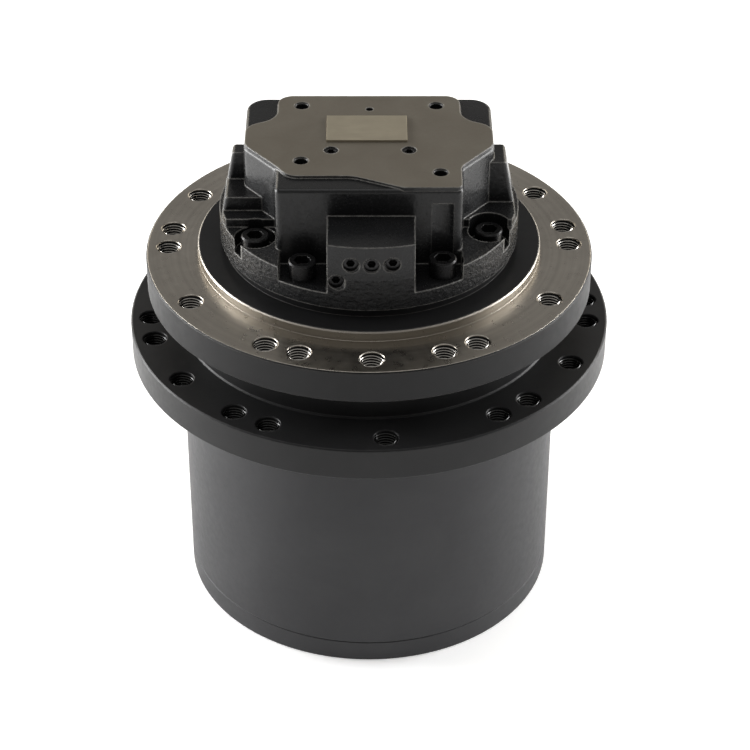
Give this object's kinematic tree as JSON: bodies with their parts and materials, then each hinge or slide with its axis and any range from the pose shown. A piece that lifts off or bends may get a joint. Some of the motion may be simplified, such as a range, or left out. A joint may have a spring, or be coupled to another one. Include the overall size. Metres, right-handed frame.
{
  "type": "final drive",
  "caption": "Track final drive: axial piston motor in a flanged spindle, with a rotating sprocket housing driven through two planetary stages.",
  "frame": {"origin": "centre of the end cover's outer face, on the axis of rotation", "axes": "+Z along the axis of rotation towards the motor cover; -Y towards the nose of the motor cover; +X to its right"},
  "size_m": [0.326, 0.3258, 0.3405],
  "materials": {
    "machined_steel": "satin",
    "black_paint": "satin",
    "gloss_black_cast": "gloss",
    "black_oxide": "satin",
    "plate_metal": "satin",
    "ground_steel": "satin",
    "gear_steel": "satin",
    "cast_iron": "matte",
    "bronze": "satin",
    "seal_rubber": "matte",
    "friction_lining": "matte",
    "zinc_plug": "satin"
  },
  "bodies": {
    "frame_side": {"spindle": "machined_steel", "motor_cover": "gloss_black_cast", "cover_screws": "black_oxide", "nameplate": "plate_metal", "gallery_plugs": "black_oxide", "spool_caps": "black_oxide", "spool_springs": "ground_steel", "output_carrier": "cast_iron", "output_carrier_screws": "black_oxide", "stage2_pins": "ground_steel", "stage2_bushes": "bronze", "lower_inner_race": "ground_steel", "upper_inner_race": "ground_steel", "upper_seal_ring": "ground_steel", "upper_seal_oring": "seal_rubber", "swash_plate": "ground_steel", "swash_pivots": "ground_steel", "valve_plate": "bronze", "brake_steel_plates": "ground_steel", "brake_springs": "ground_steel", "front_bearing_outer": "ground_steel", "rear_bearing_outer": "ground_steel", "shaft_seal": "seal_rubber"},
    "hub": {"hub_housing": "black_paint", "end_cover": "black_paint", "end_cover_screws": "black_oxide", "end_cover_oring": "seal_rubber", "oil_plugs": "zinc_plug", "thrust_pad": "bronze", "lower_outer_race": "ground_steel", "upper_outer_race": "ground_steel", "lower_seal_ring": "ground_steel", "lower_seal_oring": "seal_rubber"},
    "main_rollers": {"main_bearing_rollers": "ground_steel"},
    "first_stage": {"stage1_carrier": "cast_iron", "stage1_pins": "ground_steel", "stage1_bushes": "bronze", "sun_gear_2": "gear_steel"},
    "rotor": {"input_shaft": "ground_steel", "sun_gear_1": "gear_steel", "cylinder_block": "cast_iron", "pistons": "ground_steel", "piston_shoes": "bronze", "shoe_retainer": "ground_steel", "retainer_guide": "bronze", "brake_friction_discs": "friction_lining", "front_bearing_inner": "ground_steel", "rear_bearing_inner": "ground_steel"},
    "shaft_rollers": {"shaft_bearing_rollers": "ground_steel"},
    "brake": {"brake_piston": "cast_iron"},
    "spool": {"counterbalance_spool": "ground_steel"},
    "planet_1a": {"stage1_planet_a": "gear_steel"},
    "planet_1b": {"stage1_planet_b": "gear_steel"},
    "planet_1c": {"stage1_planet_c": "gear_steel"},
    "planet_2a": {"stage2_planet_a": "gear_steel"},
    "planet_2b": {"stage2_planet_b": "gear_steel"},
    "planet_2c": {"stage2_planet_c": "gear_steel"},
    "planet_2d": {"stage2_planet_d": "gear_steel"}
  },
  "joints": [
    {"name": "hub_spin", "type": "hinge", "parent": "frame_side", "child": "hub", "pos_m": [0, 0, 0.184], "axis": [0, 0, 1], "continuous": true},
    {"name": "main_roller_spin", "type": "hinge", "parent": "frame_side", "child": "main_rollers", "pos_m": [0, 0, 0.144], "axis": [0, 0, 1], "continuous": true},
    {"name": "first_stage_spin", "type": "hinge", "parent": "frame_side", "child": "first_stage", "pos_m": [0, 0, 0.056], "axis": [0, 0, 1], "continuous": true},
    {"name": "rotor_spin", "type": "hinge", "parent": "frame_side", "child": "rotor", "pos_m": [0, 0, 0.20595], "axis": [0, 0, 1], "continuous": true},
    {"name": "shaft_roller_spin", "type": "hinge", "parent": "frame_side", "child": "shaft_rollers", "pos_m": [0, 0, 0.166], "axis": [0, 0, 1], "continuous": true},
    {"name": "planet_1a_spin", "type": "hinge", "parent": "first_stage", "child": "planet_1a", "pos_m": [0.063, 0, 0.029], "axis": [0, 0, 1], "continuous": true},
    {"name": "planet_1b_spin", "type": "hinge", "parent": "first_stage", "child": "planet_1b", "pos_m": [-0.0315, 0.05456, 0.029], "axis": [0, 0, 1], "continuous": true},
    {"name": "planet_1c_spin", "type": "hinge", "parent": "first_stage", "child": "planet_1c", "pos_m": [-0.0315, -0.05456, 0.029], "axis": [0, 0, 1], "continuous": true},
    {"name": "planet_2a_spin", "type": "hinge", "parent": "frame_side", "child": "planet_2a", "pos_m": [0.072, 0, 0.08], "axis": [0, 0, 1], "continuous": true},
    {"name": "planet_2b_spin", "type": "hinge", "parent": "frame_side", "child": "planet_2b", "pos_m": [0, 0.072, 0.08], "axis": [0, 0, 1], "continuous": true},
    {"name": "planet_2c_spin", "type": "hinge", "parent": "frame_side", "child": "planet_2c", "pos_m": [-0.072, 0, 0.08], "axis": [0, 0, 1], "continuous": true},
    {"name": "planet_2d_spin", "type": "hinge", "parent": "frame_side", "child": "planet_2d", "pos_m": [0, -0.072, 0.08], "axis": [0, 0, 1], "continuous": true},
    {"name": "brake_release", "type": "slide", "parent": "frame_side", "child": "brake", "axis": [0, 0, 1], "range_m": [0, 0.0015], "stiffness_N_per_m": 20000, "springref_m": -0.002, "deforming": ["brake_springs"]},
    {"name": "spool_shift", "type": "slide", "parent": "frame_side", "child": "spool", "axis": [1, 0, 0], "range_m": [-0.005, 0.005], "stiffness_N_per_m": 2000}
  ],
  "couplings": [
    {"joint": "main_roller_spin", "follows": "hub_spin", "ratio": 0.5266},
    {"joint": "first_stage_spin", "follows": "hub_spin", "ratio": -3},
    {"joint": "rotor_spin", "follows": "hub_spin", "ratio": -27},
    {"joint": "shaft_roller_spin", "follows": "hub_spin", "ratio": -11.662},
    {"joint": "planet_1a_spin", "follows": "hub_spin", "ratio": 9.6},
    {"joint": "planet_1b_spin", "follows": "hub_spin", "ratio": 9.6},
    {"joint": "planet_1c_spin", "follows": "hub_spin", "ratio": 9.6},
    {"joint": "planet_2a_spin", "follows": "hub_spin", "ratio": 3},
    {"joint": "planet_2b_spin", "follows": "hub_spin", "ratio": 3},
    {"joint": "planet_2c_spin", "follows": "hub_spin", "ratio": 3},
    {"joint": "planet_2d_spin", "follows": "hub_spin", "ratio": 3}
  ]
}
